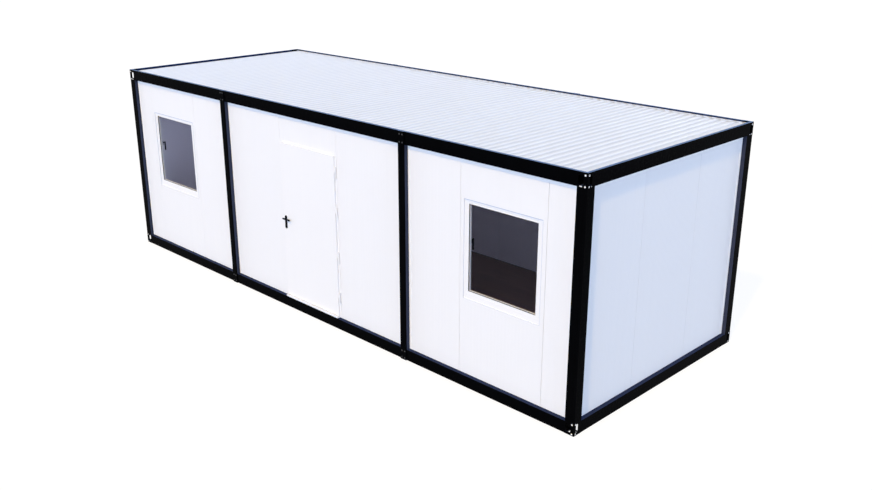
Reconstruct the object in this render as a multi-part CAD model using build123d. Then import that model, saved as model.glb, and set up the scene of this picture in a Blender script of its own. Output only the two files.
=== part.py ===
from build123d import *
import os

# A flat-pack container cabin: a bolted frame of folded steel rails, square posts and hollow corner
# fittings, filled with sandwich wall panels. Millimetres. +X runs to the right along the long front,
# +Y from the front to the back, +Z up. The origin is on the ground under the middle of the cabin.

# Outer frame
LENGTH = 8020.0
WIDTH = 2980.0
HEIGHT = 2600.0
FRAME_FACE = 115.0
STEEL = 3.0
BEND_RADIUS = 4.0

# Base rails and floor
BASE_RAIL_HEIGHT = 130.0
BASE_FOOT_WIDTH = 30.0
FLOOR_THICKNESS = 20.0
JOIST_WIDTH = 50.0
JOIST_PITCH = 600.0

# Roof rails and roof
ROOF_RAIL_HEIGHT = 140.0
ROOF_EDGE_WIDTH = 30.0
CEILING_LEDGE = 35.0
CEILING_THICKNESS = 40.0
CEILING_PANEL_COUNT = 4
ROOF_SINK = 20.0
RIB_PITCH = 100.0
RIB_HEIGHT = 10.0
RIB_CREST = 30.0
RIB_SLOPE = 12.0
ROOF_SHEET = 2.0
ROOF_EDGE_GAP = 1.0
PURLIN_WIDTH = 60.0
PURLIN_COUNT = 7

# Corner fittings
FITTING_WALL = 5.0
FITTING_PLATE = 6.0
LONG_SLOT_WIDTH = 58.0
LONG_SLOT_FROM_CORNER = 73.0
END_SLOT_WIDTH = 34.0
END_SLOT_FROM_CORNER = 49.0
SLOT_HEIGHT = 90.0
SLOT_CORNER = 8.0
LOW_SLOT_RISE = 28.0
HIGH_SLOT_RISE = 15.0
ANCHOR_HOLE_RADIUS = 40.0
RAIL_MOUTH_LIP = 8.0

# Middle posts
SIDE_BAY_WIDTH = 2194.0
MID_POST_WIDTH = 92.0
MID_POST_PROUD = 10.0

# Wall panels
WALL_RECESS = 50.0
WALL_THICKNESS = 50.0
PANEL_JOINT = 2.0
TONGUE_WIDTH = 16.0
TONGUE_DEPTH = 12.0
TONGUE_CLEARANCE = 0.5
END_SEAM_FROM_FRONT = 1015.0
END_PANEL_WIDTH = 1000.0

# Windows
WINDOW_FROM_POST = 890.0
WINDOW_PANEL_WIDTH = 1100.0
WINDOW_WIDTH = 996.0
WINDOW_SILL_HEIGHT = 985.0
WINDOW_HEIGHT = 1056.0
CASING_SIDE = 32.0
CASING_TOP = 14.0
CASING_BOTTOM = 58.0
CASING_SETBACK = 7.0
SASH_WIDTH = 26.0
SASH_STEP = 2.0
SASH_DEPTH = 40.0
GLASS_SETBACK = 30.0
GLASS_THICKNESS = 4.0
GLASS_BITE = 8.0
LATCH_HEIGHT = 620.0
LATCH_REACH = 46.0
LATCH_PLATE_WIDTH = 24.0
LATCH_PLATE_HEIGHT = 60.0
LATCH_PLATE_THICKNESS = 8.0
LATCH_NECK_RADIUS = 7.0
LATCH_GRIP_WIDTH = 18.0
LATCH_GRIP_LENGTH = 125.0
LATCH_GRIP_ABOVE = 12.0
LATCH_GRIP_DEPTH = 12.0
LATCH_BEVEL = 4.0

# Door
DOOR_X = -10.0
DOOR_BAY_WIDTH = 1060.0
DOOR_FRAME_TOP = 2140.0
JAMB_WIDTH = 40.0
SILL_HEIGHT = 20.0
SILL_FROM_FACE = 5.0
DOOR_FRAME_DEPTH = 55.0
LEAF_REVEAL = 28.0
LEAF_TOP_REVEAL = 22.0
LEAF_SILL_GAP = 5.0
LEAF_PROUD = 20.0
LEAF_FLANGE = 15.0
LEAF_CORE_DEPTH = 40.0
LEAF_CORE_GAP = 8.0

# Hinges
HINGE_RADIUS = 9.0
HINGE_PIN_RADIUS = 5.0
HINGE_CLEARANCE = 0.1
HINGE_GAP = 0.5
HINGE_LENGTH = 140.0
HINGE_FROM_LEAF = 17.0
HINGE_ARM = 8.0
HINGE_PIN_RISE = 56.0
HINGE_HEIGHTS = (385.0, 895.0, 1440.0, 1925.0)

# Door handle
HANDLE_FROM_EDGE = 44.0
HANDLE_HEIGHT = 1165.0
LOCK_PLATE_WIDTH = 40.0
LOCK_PLATE_HEIGHT = 165.0
LOCK_PLATE_DROP = 38.0
LOCK_PLATE_THICKNESS = 6.0
LOCK_PLATE_BEVEL = 11.0
LEVER_REACH = 107.0
OUTER_LEVER_TAIL = 30.0
INNER_LEVER_TAIL = 18.0
LEVER_HEIGHT = 18.0
LEVER_DEPTH = 14.0
LEVER_BEVEL = 3.0
NECK_RADIUS = 9.0
NECK_LENGTH = 19.0
SPINDLE_RADIUS = 5.0
SPINDLE_CLEARANCE = 0.1
LEVER_GAP = 0.5

# Places that follow from the sizes above
END_X = LENGTH / 2
SIDE_Y = WIDTH / 2
ROOF_RAIL_BOTTOM = HEIGHT - ROOF_RAIL_HEIGHT
SHEET_SEAT = HEIGHT - ROOF_SINK - RIB_HEIGHT - ROOF_SHEET
BAY_END_X = END_X - FRAME_FACE
BAY_END_Y = SIDE_Y - FRAME_FACE
MID_POST_X = BAY_END_X - SIDE_BAY_WIDTH - MID_POST_WIDTH / 2
WINDOW_X = BAY_END_X - WINDOW_FROM_POST
WALL_FRONT_Y = -SIDE_Y + WALL_RECESS
WALL_BACK_Y = WALL_FRONT_Y + WALL_THICKNESS
FLOOR_TOP = BASE_RAIL_HEIGHT
LEAF_FRONT_Y = WALL_FRONT_Y - LEAF_PROUD
LEAF_FLANGE_Y = LEAF_FRONT_Y + LEAF_FLANGE
LEAF_BACK_Y = LEAF_FLANGE_Y + LEAF_CORE_DEPTH
LEAF_HALF = DOOR_BAY_WIDTH / 2 - LEAF_REVEAL
LEAF_BOTTOM = FLOOR_TOP + SILL_HEIGHT + LEAF_SILL_GAP
LEAF_TOP = DOOR_FRAME_TOP - LEAF_TOP_REVEAL
LEAF_LEFT = DOOR_X - LEAF_HALF
LEAF_RIGHT = DOOR_X + LEAF_HALF
HINGE_X = LEAF_RIGHT + HINGE_FROM_LEAF
HINGE_Y = LEAF_FRONT_Y + HINGE_ARM
HANDLE_X = LEAF_LEFT + HANDLE_FROM_EDGE


def block(x0, x1, y0, y1, z0, z1):
    """A box between two corners."""
    return Pos((x0 + x1) / 2, (y0 + y1) / 2, (z0 + z1) / 2) * Box(x1 - x0, y1 - y0, z1 - z0)


def write(name, *solids):
    """Write one node. Several solids in a node are like pieces that do not touch."""
    shape = solids[0] if len(solids) == 1 else Compound(children=list(solids))
    export_step(shape, f"parts/{name}.step")


def along_x(points, length, rounded=()):
    """Extrude a (y, z) outline along X, centred, with the listed corners rounded as folded steel."""
    outline = Polygon(*points, align=None)
    corners = [v for v in outline.vertices() if (round(v.X, 3), round(v.Y, 3)) in rounded]
    if corners:
        outline = fillet(corners, BEND_RADIUS)
    return extrude(Plane.YZ * outline, amount=length / 2, both=True)


def base_rail(length):
    """Folded channel, open inwards: foot, outer web, top seat for the wall and a lip for the floor."""
    inner = FRAME_FACE - STEEL
    lip = BASE_RAIL_HEIGHT - FLOOR_THICKNESS
    points = [
        (0, 0), (BASE_FOOT_WIDTH, 0), (BASE_FOOT_WIDTH, STEEL), (STEEL, STEEL),
        (STEEL, BASE_RAIL_HEIGHT - STEEL), (inner, BASE_RAIL_HEIGHT - STEEL), (inner, lip),
        (FRAME_FACE, lip), (FRAME_FACE, BASE_RAIL_HEIGHT), (0, BASE_RAIL_HEIGHT),
    ]
    return along_x(points, length, ((0, 0), (0, BASE_RAIL_HEIGHT)))


def roof_rail(length, ledge_length):
    """Folded channel, open upwards, with a narrow top edge and a ledge that carries the ceiling."""
    inner = FRAME_FACE - STEEL
    seat = SHEET_SEAT - ROOF_RAIL_BOTTOM
    points = [
        (0, 0), (FRAME_FACE, 0), (FRAME_FACE, seat), (inner, seat), (inner, STEEL), (STEEL, STEEL),
        (STEEL, ROOF_RAIL_HEIGHT - STEEL), (ROOF_EDGE_WIDTH, ROOF_RAIL_HEIGHT - STEEL),
        (ROOF_EDGE_WIDTH, ROOF_RAIL_HEIGHT), (0, ROOF_RAIL_HEIGHT),
    ]
    rail = along_x(points, length, ((0, 0), (0, ROOF_RAIL_HEIGHT)))
    half = ledge_length / 2
    ledge = block(-half, half, FRAME_FACE, FRAME_FACE + CEILING_LEDGE, 0, STEEL)
    return Pos(0, 0, ROOF_RAIL_BOTTOM) * (rail + ledge)


def four_sides(name, long_rail, short_rail):
    """Place the rails of one ring: front, back, left and right."""
    write(f"{name}_front", Pos(0, -SIDE_Y, 0) * long_rail)
    write(f"{name}_back", Pos(0, SIDE_Y, 0) * Rot(0, 0, 180) * long_rail)
    write(f"{name}_right", Pos(END_X, 0, 0) * Rot(0, 0, 90) * short_rail)
    write(f"{name}_left", Pos(-END_X, 0, 0) * Rot(0, 0, -90) * short_rail)


def four_corners(name, piece):
    """Place a piece that is made for the front left corner at all four corners."""
    front_left = Pos(-END_X, -SIDE_Y, 0) * piece
    back_left = mirror(front_left, Plane.XZ)
    write(f"{name}_front_left", front_left)
    write(f"{name}_back_left", back_left)
    write(f"{name}_front_right", mirror(front_left, Plane.YZ))
    write(f"{name}_back_right", mirror(back_left, Plane.YZ))


def slot_cutter(width):
    """A rectangle with clipped corners, as flame cut, that stands across X at the origin."""
    through = FITTING_WALL * 4
    body = Box(width, through, SLOT_HEIGHT)
    return chamfer(body.edges().filter_by(Axis.Y), SLOT_CORNER)


def slot_cutters(middle_z):
    """Cutters through the long side's wall and the end wall of a fitting."""
    front = Pos(LONG_SLOT_FROM_CORNER, 0, middle_z) * slot_cutter(LONG_SLOT_WIDTH)
    end = Pos(0, END_SLOT_FROM_CORNER, middle_z) * Rot(0, 0, 90) * slot_cutter(END_SLOT_WIDTH)
    return front + end


def low_fitting():
    """Hollow foot of a corner, on its foot plate, and open towards the channel of the end rail."""
    top = BASE_RAIL_HEIGHT
    inner = FRAME_FACE - FITTING_WALL
    body = block(0, FRAME_FACE, 0, FRAME_FACE, FITTING_PLATE, top)
    body -= block(FITTING_WALL, inner, FITTING_WALL, inner, FITTING_PLATE, top - FITTING_PLATE)
    lip = FITTING_PLATE + RAIL_MOUTH_LIP
    body -= block(FITTING_WALL, inner, inner, FRAME_FACE, FITTING_PLATE, top - lip)
    return body - slot_cutters(LOW_SLOT_RISE + SLOT_HEIGHT / 2)


def foot_plates():
    """Plate under each low fitting, with the anchor hole."""
    hole = Pos(FRAME_FACE / 2, FRAME_FACE / 2, 0) * Cylinder(ANCHOR_HOLE_RADIUS, FITTING_PLATE * 4)
    front_left = Pos(-END_X, -SIDE_Y, 0) * (block(0, FRAME_FACE, 0, FRAME_FACE, 0, FITTING_PLATE) - hole)
    left = [front_left, mirror(front_left, Plane.XZ)]
    write("foot_plates", *left, *mirrored(left))


def high_fitting():
    """Hollow head of a corner: open at the top, where the roof sheet runs over its inner walls."""
    inner = FRAME_FACE - FITTING_WALL
    seat = SHEET_SEAT - ROOF_RAIL_BOTTOM
    body = block(0, FRAME_FACE, 0, FRAME_FACE, 0, ROOF_RAIL_HEIGHT)
    body -= block(FITTING_WALL, inner, FITTING_WALL, inner, FITTING_PLATE, ROOF_RAIL_HEIGHT)
    body -= block(FITTING_WALL, FRAME_FACE, FITTING_WALL, FRAME_FACE, seat, ROOF_RAIL_HEIGHT)
    under = ROOF_RAIL_HEIGHT - FITTING_PLATE
    body += block(0, FRAME_FACE, 0, ROOF_EDGE_WIDTH, under, ROOF_RAIL_HEIGHT)
    body += block(0, ROOF_EDGE_WIDTH, 0, FRAME_FACE, under, ROOF_RAIL_HEIGHT)
    return Pos(0, 0, ROOF_RAIL_BOTTOM) * (body - slot_cutters(HIGH_SLOT_RISE + SLOT_HEIGHT / 2))


def square_tube(width, depth, z0, z1):
    """A folded square post with its outer corner at the origin."""
    shell = block(0, width, 0, depth, z0, z1)
    shell = fillet(shell.edges().filter_by(Axis.Z), BEND_RADIUS)
    return shell - block(STEEL, width - STEEL, STEEL, depth - STEEL, z0, z1)


def mid_post():
    """Post between two wall bays, with a cover plate bolted over each rail."""
    depth = FRAME_FACE + MID_POST_PROUD
    post = square_tube(MID_POST_WIDTH, depth, BASE_RAIL_HEIGHT, ROOF_RAIL_BOTTOM)
    post += block(0, MID_POST_WIDTH, 0, MID_POST_PROUD, 0, BASE_RAIL_HEIGHT)
    post += block(0, MID_POST_WIDTH, 0, MID_POST_PROUD, ROOF_RAIL_BOTTOM, HEIGHT)
    return Pos(-MID_POST_WIDTH / 2, -SIDE_Y - MID_POST_PROUD, 0) * post


def frame():
    four_sides("base_rail", base_rail(LENGTH - 2 * FRAME_FACE), base_rail(WIDTH - 2 * FRAME_FACE))
    long_roof = roof_rail(LENGTH - 2 * FRAME_FACE, LENGTH - 2 * FRAME_FACE)
    short_ledge = WIDTH - 2 * (FRAME_FACE + CEILING_LEDGE)
    four_sides("roof_rail", long_roof, roof_rail(WIDTH - 2 * FRAME_FACE, short_ledge))
    four_corners("low_fitting", low_fitting())
    foot_plates()
    four_corners("high_fitting", high_fitting())
    post = square_tube(FRAME_FACE, FRAME_FACE, BASE_RAIL_HEIGHT, ROOF_RAIL_BOTTOM)
    four_corners("corner_post", post)
    for side, x in (("left", -MID_POST_X), ("right", MID_POST_X)):
        front = Pos(x, 0, 0) * mid_post()
        write(f"mid_post_front_{side}", front)
        write(f"mid_post_back_{side}", mirror(front, Plane.XZ))


def joist(x):
    """Cross joist: a folded channel that stands on the feet of the front and back rails."""
    top = BASE_RAIL_HEIGHT - FLOOR_THICKNESS
    half = SIDE_Y - STEEL
    body = block(0, JOIST_WIDTH, -half, half, STEEL, top)
    body -= block(STEEL, JOIST_WIDTH, -half, half, 2 * STEEL, top - STEEL)
    return Pos(x - JOIST_WIDTH / 2, 0, 0) * body


def floor():
    count = int((LENGTH - 2 * FRAME_FACE - JOIST_WIDTH) // JOIST_PITCH) + 1
    first = -(count - 1) * JOIST_PITCH / 2
    write("floor_joists", *[joist(first + i * JOIST_PITCH) for i in range(count)])
    deck_bottom = FLOOR_TOP - FLOOR_THICKNESS
    write("floor_boards", block(-BAY_END_X, BAY_END_X, -BAY_END_Y, BAY_END_Y, deck_bottom, FLOOR_TOP))


def roof_sheet():
    """Trapezoidal ribs that run from the front to the back."""
    half = END_X - FITTING_WALL - ROOF_EDGE_GAP
    rise = RIB_CREST / 2 + RIB_SLOPE
    each_side = int((half - rise) // RIB_PITCH)
    count = 2 * each_side + 1
    first = -each_side * RIB_PITCH
    line = [(-half, 0.0)]
    for i in range(count):
        middle = first + i * RIB_PITCH
        line += [(middle - rise, 0.0), (middle - RIB_CREST / 2, RIB_HEIGHT)]
        line += [(middle + RIB_CREST / 2, RIB_HEIGHT), (middle + rise, 0.0)]
    line.append((half, 0.0))
    upper = [(x, z + ROOF_SHEET) for x, z in reversed(line)]
    outline = Plane.XZ * Polygon(*(line + upper), align=None)
    reach = SIDE_Y - FITTING_WALL - ROOF_EDGE_GAP
    return Pos(0, 0, SHEET_SEAT) * extrude(outline, amount=reach, both=True)


def purlin(x):
    """Roof cross member between the inner webs of the long rails."""
    bottom = ROOF_RAIL_BOTTOM + STEEL + CEILING_THICKNESS
    body = block(0, PURLIN_WIDTH, -BAY_END_Y, BAY_END_Y, bottom, SHEET_SEAT)
    body -= block(STEEL, PURLIN_WIDTH - STEEL, -BAY_END_Y, BAY_END_Y, bottom + STEEL, SHEET_SEAT - STEEL)
    return Pos(x - PURLIN_WIDTH / 2, 0, 0) * body


def ceiling_panel(i):
    width = 2 * BAY_END_X / CEILING_PANEL_COUNT
    left = -BAY_END_X + i * width
    right = left + width
    bottom = ROOF_RAIL_BOTTOM + STEEL
    joint = PANEL_JOINT / 2
    return block(left + joint, right - joint, -BAY_END_Y, BAY_END_Y, bottom, bottom + CEILING_THICKNESS)


def roof():
    write("roof_sheet", roof_sheet())
    pitch = 2 * BAY_END_X / (PURLIN_COUNT + 1)
    write("roof_purlins", *[purlin(-BAY_END_X + (i + 1) * pitch) for i in range(PURLIN_COUNT)])
    write("ceiling", *[ceiling_panel(i) for i in range(CEILING_PANEL_COUNT)])


def tongue(x0, x1, z0, z1, clearance):
    """The bar that joins two wall panels in the middle of their thickness, or the groove for it."""
    middle = (WALL_FRONT_Y + WALL_BACK_Y) / 2
    half = TONGUE_WIDTH / 2 + clearance
    return block(x0 - clearance, x1 + clearance, middle - half, middle + half, z0, z1)


def panels(seams, z0=BASE_RAIL_HEIGHT, z1=ROOF_RAIL_BOTTOM):
    """The three wall panels of one bay. The middle one has a tongue along both edges, which seats
    in a groove of the panel beside it."""
    outer_left, seam_left, seam_right, outer_right = seams
    joint = PANEL_JOINT / 2
    left = block(outer_left, seam_left - joint, WALL_FRONT_Y, WALL_BACK_Y, z0, z1)
    middle = block(seam_left + joint, seam_right - joint, WALL_FRONT_Y, WALL_BACK_Y, z0, z1)
    right = block(seam_right + joint, outer_right, WALL_FRONT_Y, WALL_BACK_Y, z0, z1)
    tip_left = seam_left + joint - TONGUE_DEPTH
    tip_right = seam_right - joint + TONGUE_DEPTH
    left -= tongue(tip_left, seam_left, z0, z1, TONGUE_CLEARANCE)
    right -= tongue(seam_right, tip_right, z0, z1, TONGUE_CLEARANCE)
    middle += tongue(tip_left, tip_right, z0, z1, 0)
    return [left, middle, right]


def window_seams():
    """Edges and seams of a side bay, from the corner post to the middle post."""
    inner = MID_POST_X + MID_POST_WIDTH / 2
    half = WINDOW_PANEL_WIDTH / 2
    return [-BAY_END_X, -WINDOW_X - half, -WINDOW_X + half, -inner]


def mirrored(solids):
    return [mirror(solid, Plane.YZ) for solid in solids]


def to_back(solids):
    return [mirror(solid, Plane.XZ) for solid in solids]


def window_bay():
    """Side bay with the window: a panel on each side, one below and one cut out round the window."""
    seams = window_seams()
    left, _, right = panels(seams)
    below = panels(seams, z1=WINDOW_SILL_HEIGHT)[1]
    around = panels(seams, z0=WINDOW_SILL_HEIGHT)[1]
    half = WINDOW_WIDTH / 2 + PANEL_JOINT / 2
    top = WINDOW_SILL_HEIGHT + WINDOW_HEIGHT + PANEL_JOINT / 2
    around -= block(-WINDOW_X - half, -WINDOW_X + half, -SIDE_Y, 0, WINDOW_SILL_HEIGHT, top)
    return [left, below, around, right]


def door_seams():
    edge = MID_POST_X - MID_POST_WIDTH / 2
    return [-edge, DOOR_X - DOOR_BAY_WIDTH / 2, DOOR_X + DOOR_BAY_WIDTH / 2, edge]


def walls():
    write("front_wall_left", *window_bay())
    write("front_wall_right", *mirrored(window_bay()))
    left, _, right = panels(door_seams())
    above = panels(door_seams(), z0=DOOR_FRAME_TOP)[1]
    write("front_wall_middle", left, above, right)
    write("back_wall_left", *to_back(panels(window_seams())))
    write("back_wall_right", *to_back(mirrored(panels(window_seams()))))
    write("back_wall_middle", *to_back(panels(door_seams())))
    first = -SIDE_Y + END_SEAM_FROM_FRONT
    seams = [-BAY_END_Y, first, first + END_PANEL_WIDTH, BAY_END_Y]
    turn = Pos(END_X - SIDE_Y, 0, 0) * Rot(0, 0, 90)
    right_wall = [turn * solid for solid in panels(seams)]
    write("end_wall_right", *right_wall)
    write("end_wall_left", *mirrored(right_wall))


def ring(half_x, z0, z1, band, y0, y1):
    """A rectangular ring of one band width, standing in the front wall."""
    outer = block(-half_x, half_x, y0, y1, z0, z1)
    return outer - block(-half_x + band, half_x - band, y0, y1, z0 + band, z1 - band)


def window():
    """Casing, sash, pane and inner latch of one window, centred on x = 0."""
    half = WINDOW_WIDTH / 2
    face = WALL_FRONT_Y + CASING_SETBACK
    casing = block(-half, half, face, WALL_BACK_Y, WINDOW_SILL_HEIGHT, WINDOW_SILL_HEIGHT + WINDOW_HEIGHT)
    sash_half = half - CASING_SIDE
    z0 = WINDOW_SILL_HEIGHT + CASING_BOTTOM
    z1 = WINDOW_SILL_HEIGHT + WINDOW_HEIGHT - CASING_TOP
    casing -= block(-sash_half, sash_half, face, WALL_BACK_Y, z0, z1)
    sash_y = face + SASH_STEP
    sash = ring(sash_half, z0, z1, SASH_WIDTH, sash_y, sash_y + SASH_DEPTH)
    pane_half = sash_half - SASH_WIDTH + GLASS_BITE
    band = SASH_WIDTH - GLASS_BITE
    pane_y = WALL_FRONT_Y + GLASS_SETBACK
    pane = block(-pane_half, pane_half, pane_y, pane_y + GLASS_THICKNESS, z0 + band, z1 - band)
    return casing, sash - pane, pane, window_latch(sash_half, sash_y + SASH_DEPTH)


def window_latch(sash_half, seat_y):
    """Inner window handle on the left sash member, pointing down."""
    x = -sash_half + SASH_WIDTH / 2
    z = WINDOW_SILL_HEIGHT + LATCH_HEIGHT
    plate_x = LATCH_PLATE_WIDTH / 2
    plate_z = LATCH_PLATE_HEIGHT / 2
    plate = block(x - plate_x, x + plate_x, seat_y, seat_y + LATCH_PLATE_THICKNESS, z - plate_z, z + plate_z)
    end = seat_y + LATCH_REACH
    neck = Pos(x, (seat_y + end) / 2, z) * Rot(90, 0, 0) * Cylinder(LATCH_NECK_RADIUS, LATCH_REACH)
    top = z + LATCH_GRIP_ABOVE
    grip_x = LATCH_GRIP_WIDTH / 2
    grip = block(x - grip_x, x + grip_x, end - LATCH_GRIP_DEPTH, end, top - LATCH_GRIP_LENGTH, top)
    grip = chamfer(grip.edges().filter_by(Axis.Y), LATCH_BEVEL)
    return plate + neck + grip


def windows():
    names = ("window_casings", "window_sashes", "window_panes", "window_latches")
    for name, piece in zip(names, window()):
        write(name, Pos(-WINDOW_X, 0, 0) * piece, Pos(WINDOW_X, 0, 0) * piece)


def door_frame():
    """Jambs, head and a sill that runs out over the top of the base rail."""
    half = DOOR_BAY_WIDTH / 2 - PANEL_JOINT / 2
    inner = half - JAMB_WIDTH
    left = DOOR_X - inner
    right = DOOR_X + inner
    y0 = WALL_FRONT_Y
    y1 = y0 + DOOR_FRAME_DEPTH
    write("door_jamb_left", block(DOOR_X - half, left, y0, y1, FLOOR_TOP, DOOR_FRAME_TOP))
    write("door_jamb_right", block(right, DOOR_X + half, y0, y1, FLOOR_TOP, DOOR_FRAME_TOP))
    write("door_head", block(left, right, y0, y1, DOOR_FRAME_TOP - JAMB_WIDTH, DOOR_FRAME_TOP))
    sill = block(left, right, y0, y1, FLOOR_TOP, FLOOR_TOP + SILL_HEIGHT)
    nose_y = -SIDE_Y + SILL_FROM_FACE
    sill += block(LEAF_LEFT, LEAF_RIGHT, nose_y, y0, FLOOR_TOP, FLOOR_TOP + SILL_HEIGHT)
    write("door_sill", sill)


def door_leaf():
    """Leaf with a front flange that laps over the frame, and a bore for the spindle."""
    leaf = block(LEAF_LEFT, LEAF_RIGHT, LEAF_FRONT_Y, LEAF_FLANGE_Y, LEAF_BOTTOM, LEAF_TOP)
    core_half = DOOR_BAY_WIDTH / 2 - PANEL_JOINT / 2 - JAMB_WIDTH - LEAF_CORE_GAP
    core_top = DOOR_FRAME_TOP - JAMB_WIDTH - LEAF_CORE_GAP
    core_bottom = FLOOR_TOP + SILL_HEIGHT + LEAF_CORE_GAP
    core_left = DOOR_X - core_half
    core_right = DOOR_X + core_half
    leaf += block(core_left, core_right, LEAF_FLANGE_Y, LEAF_BACK_Y, core_bottom, core_top)
    bore = Rot(90, 0, 0) * Cylinder(SPINDLE_RADIUS + SPINDLE_CLEARANCE, 4 * FRAME_FACE)
    return leaf - Pos(HANDLE_X, LEAF_FRONT_Y, HANDLE_HEIGHT) * bore


def hinge_halves(z):
    """Lower half with the pin on the frame, upper half with the bore on the leaf."""
    half = HINGE_LENGTH / 2
    low = Pos(HINGE_X, HINGE_Y, z - half / 2) * Cylinder(HINGE_RADIUS, half)
    arm = HINGE_ARM / 2
    low += block(HINGE_X - arm, HINGE_X + arm, HINGE_Y, WALL_FRONT_Y, z - half, z)
    low += Pos(HINGE_X, HINGE_Y, z + HINGE_PIN_RISE / 2) * Cylinder(HINGE_PIN_RADIUS, HINGE_PIN_RISE)
    start = z + HINGE_GAP
    middle = (start + z + half) / 2
    high = Pos(HINGE_X, HINGE_Y, middle) * Cylinder(HINGE_RADIUS, z + half - start)
    high += block(LEAF_RIGHT, HINGE_X, HINGE_Y - arm, HINGE_Y + arm, start, z + half)
    bore = Cylinder(HINGE_PIN_RADIUS + HINGE_CLEARANCE, 2 * (HINGE_PIN_RISE + HINGE_GAP))
    return low, high - Pos(HINGE_X, HINGE_Y, z) * bore


def lock_plate(y0, y1):
    x0 = HANDLE_X - LOCK_PLATE_WIDTH / 2
    z1 = HANDLE_HEIGHT + LOCK_PLATE_DROP
    plate = block(x0, x0 + LOCK_PLATE_WIDTH, y0, y1, z1 - LOCK_PLATE_HEIGHT, z1)
    plate = chamfer(plate.edges().filter_by(Axis.Y), LOCK_PLATE_BEVEL)
    bore = Rot(90, 0, 0) * Cylinder(SPINDLE_RADIUS + SPINDLE_CLEARANCE, 4 * FRAME_FACE)
    return plate - Pos(HANDLE_X, y0, HANDLE_HEIGHT) * bore


def lever(seat_y, outwards, tail):
    """Neck and grip of one lever, from its plate outwards. The tail runs past the spindle."""
    start = seat_y + outwards * LEVER_GAP
    tip = start + outwards * NECK_LENGTH
    turn = Rot(90, 0, 0)
    neck = Pos(HANDLE_X, (start + tip) / 2, HANDLE_HEIGHT) * turn * Cylinder(NECK_RADIUS, NECK_LENGTH)
    grip = Box(tail + LEVER_REACH, LEVER_DEPTH, LEVER_HEIGHT)
    grip = chamfer(grip.edges(), LEVER_BEVEL)
    middle_x = HANDLE_X + (LEVER_REACH - tail) / 2
    return neck + Pos(middle_x, tip + outwards * LEVER_DEPTH / 2, HANDLE_HEIGHT) * grip


def door():
    door_frame()
    write("door_leaf", door_leaf())
    halves = [hinge_halves(z) for z in HINGE_HEIGHTS]
    write("hinge_frame_halves", *[low for low, high in halves])
    write("hinge_leaf_halves", *[high for low, high in halves])
    outer = LEAF_FRONT_Y - LOCK_PLATE_THICKNESS
    inner = LEAF_BACK_Y + LOCK_PLATE_THICKNESS
    write("lock_plates", lock_plate(outer, LEAF_FRONT_Y), lock_plate(LEAF_BACK_Y, inner))
    spindle = Pos(HANDLE_X, (outer + inner) / 2, HANDLE_HEIGHT) * Rot(90, 0, 0)
    spindle = spindle * Cylinder(SPINDLE_RADIUS, inner - outer + NECK_LENGTH)
    levers = lever(outer, -1, OUTER_LEVER_TAIL) + lever(inner, 1, INNER_LEVER_TAIL)
    write("door_levers", spindle + levers)


os.makedirs("parts", exist_ok=True)
frame()
floor()
roof()
walls()
windows()
door()
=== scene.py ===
import math

import bmesh
import bpy
from mathutils import Matrix, Vector

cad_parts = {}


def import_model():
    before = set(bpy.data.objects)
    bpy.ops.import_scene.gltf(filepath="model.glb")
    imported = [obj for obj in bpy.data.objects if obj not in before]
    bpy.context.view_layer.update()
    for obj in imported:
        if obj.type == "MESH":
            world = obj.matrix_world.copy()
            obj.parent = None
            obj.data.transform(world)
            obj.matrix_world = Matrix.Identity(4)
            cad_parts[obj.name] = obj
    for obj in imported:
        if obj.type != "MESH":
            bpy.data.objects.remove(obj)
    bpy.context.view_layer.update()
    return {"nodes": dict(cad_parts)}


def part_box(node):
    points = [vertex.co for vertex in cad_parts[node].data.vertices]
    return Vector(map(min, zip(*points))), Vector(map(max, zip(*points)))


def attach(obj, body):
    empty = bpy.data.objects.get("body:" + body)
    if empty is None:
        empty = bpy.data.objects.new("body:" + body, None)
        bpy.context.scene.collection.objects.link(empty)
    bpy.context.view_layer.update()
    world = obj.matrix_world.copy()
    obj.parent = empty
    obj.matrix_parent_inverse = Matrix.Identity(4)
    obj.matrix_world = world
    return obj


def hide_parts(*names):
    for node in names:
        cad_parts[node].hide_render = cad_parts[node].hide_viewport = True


# Looks of a container cabin: a black bolted frame, white ribbed panels, two windows, one door and a
# ribbed roof. Metres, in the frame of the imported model: the front looks along -Y, +Z is up.

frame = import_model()
nodes = frame["nodes"]
CABIN = "cabin"
DOOR = "door"

# Faces of the frame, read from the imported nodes
POST_LOW, POST_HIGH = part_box("corner_post_front_right")
WALL_LOW, WALL_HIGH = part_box("front_wall_middle")
END_X = POST_HIGH.x
SIDE_Y = -POST_LOW.y
RAIL_TOP = WALL_LOW.z
RAIL_UNDER = WALL_HIGH.z
ROOF_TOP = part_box("high_fitting_front_right")[1].z
RECESS = WALL_LOW.y + SIDE_Y
BAY_EDGE_X = POST_LOW.x
BAY_EDGE_Y = -POST_HIGH.y
PLATE_PROUD = -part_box("mid_post_front_left")[0].y - SIDE_Y

# Small edges of boxes
BEVEL_STEPS = 2
BEVEL_FULLNESS = 0.6

# Fine grooves and seams of the wall panels
GROOVE_PITCH = 0.045
GROOVE_MOUTH = 0.010
GROOVE_FLOOR = 0.003
GROOVE_DEPTH = 0.0008
SEAM_BEVEL = 0.002
SEAM_GAP = 0.0008
SEAM_DEPTH = 0.012
PANEL_GAP = 0.001
CUT_MARGIN = 0.05

# How near two points of a CAD solid are to count as level, as on its skin, or as part of its edge
LEVEL = 1e-4
SKIN_REACH = 1e-3
EDGE_REACH = 0.03
POINT_DIGITS = 5

# Trim strips that close each bay
TOP_TRIM = 0.042
SIDE_TRIM = 0.028
TRIM_PROUD = 0.003
TRIM_ROUND = 0.0005

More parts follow.
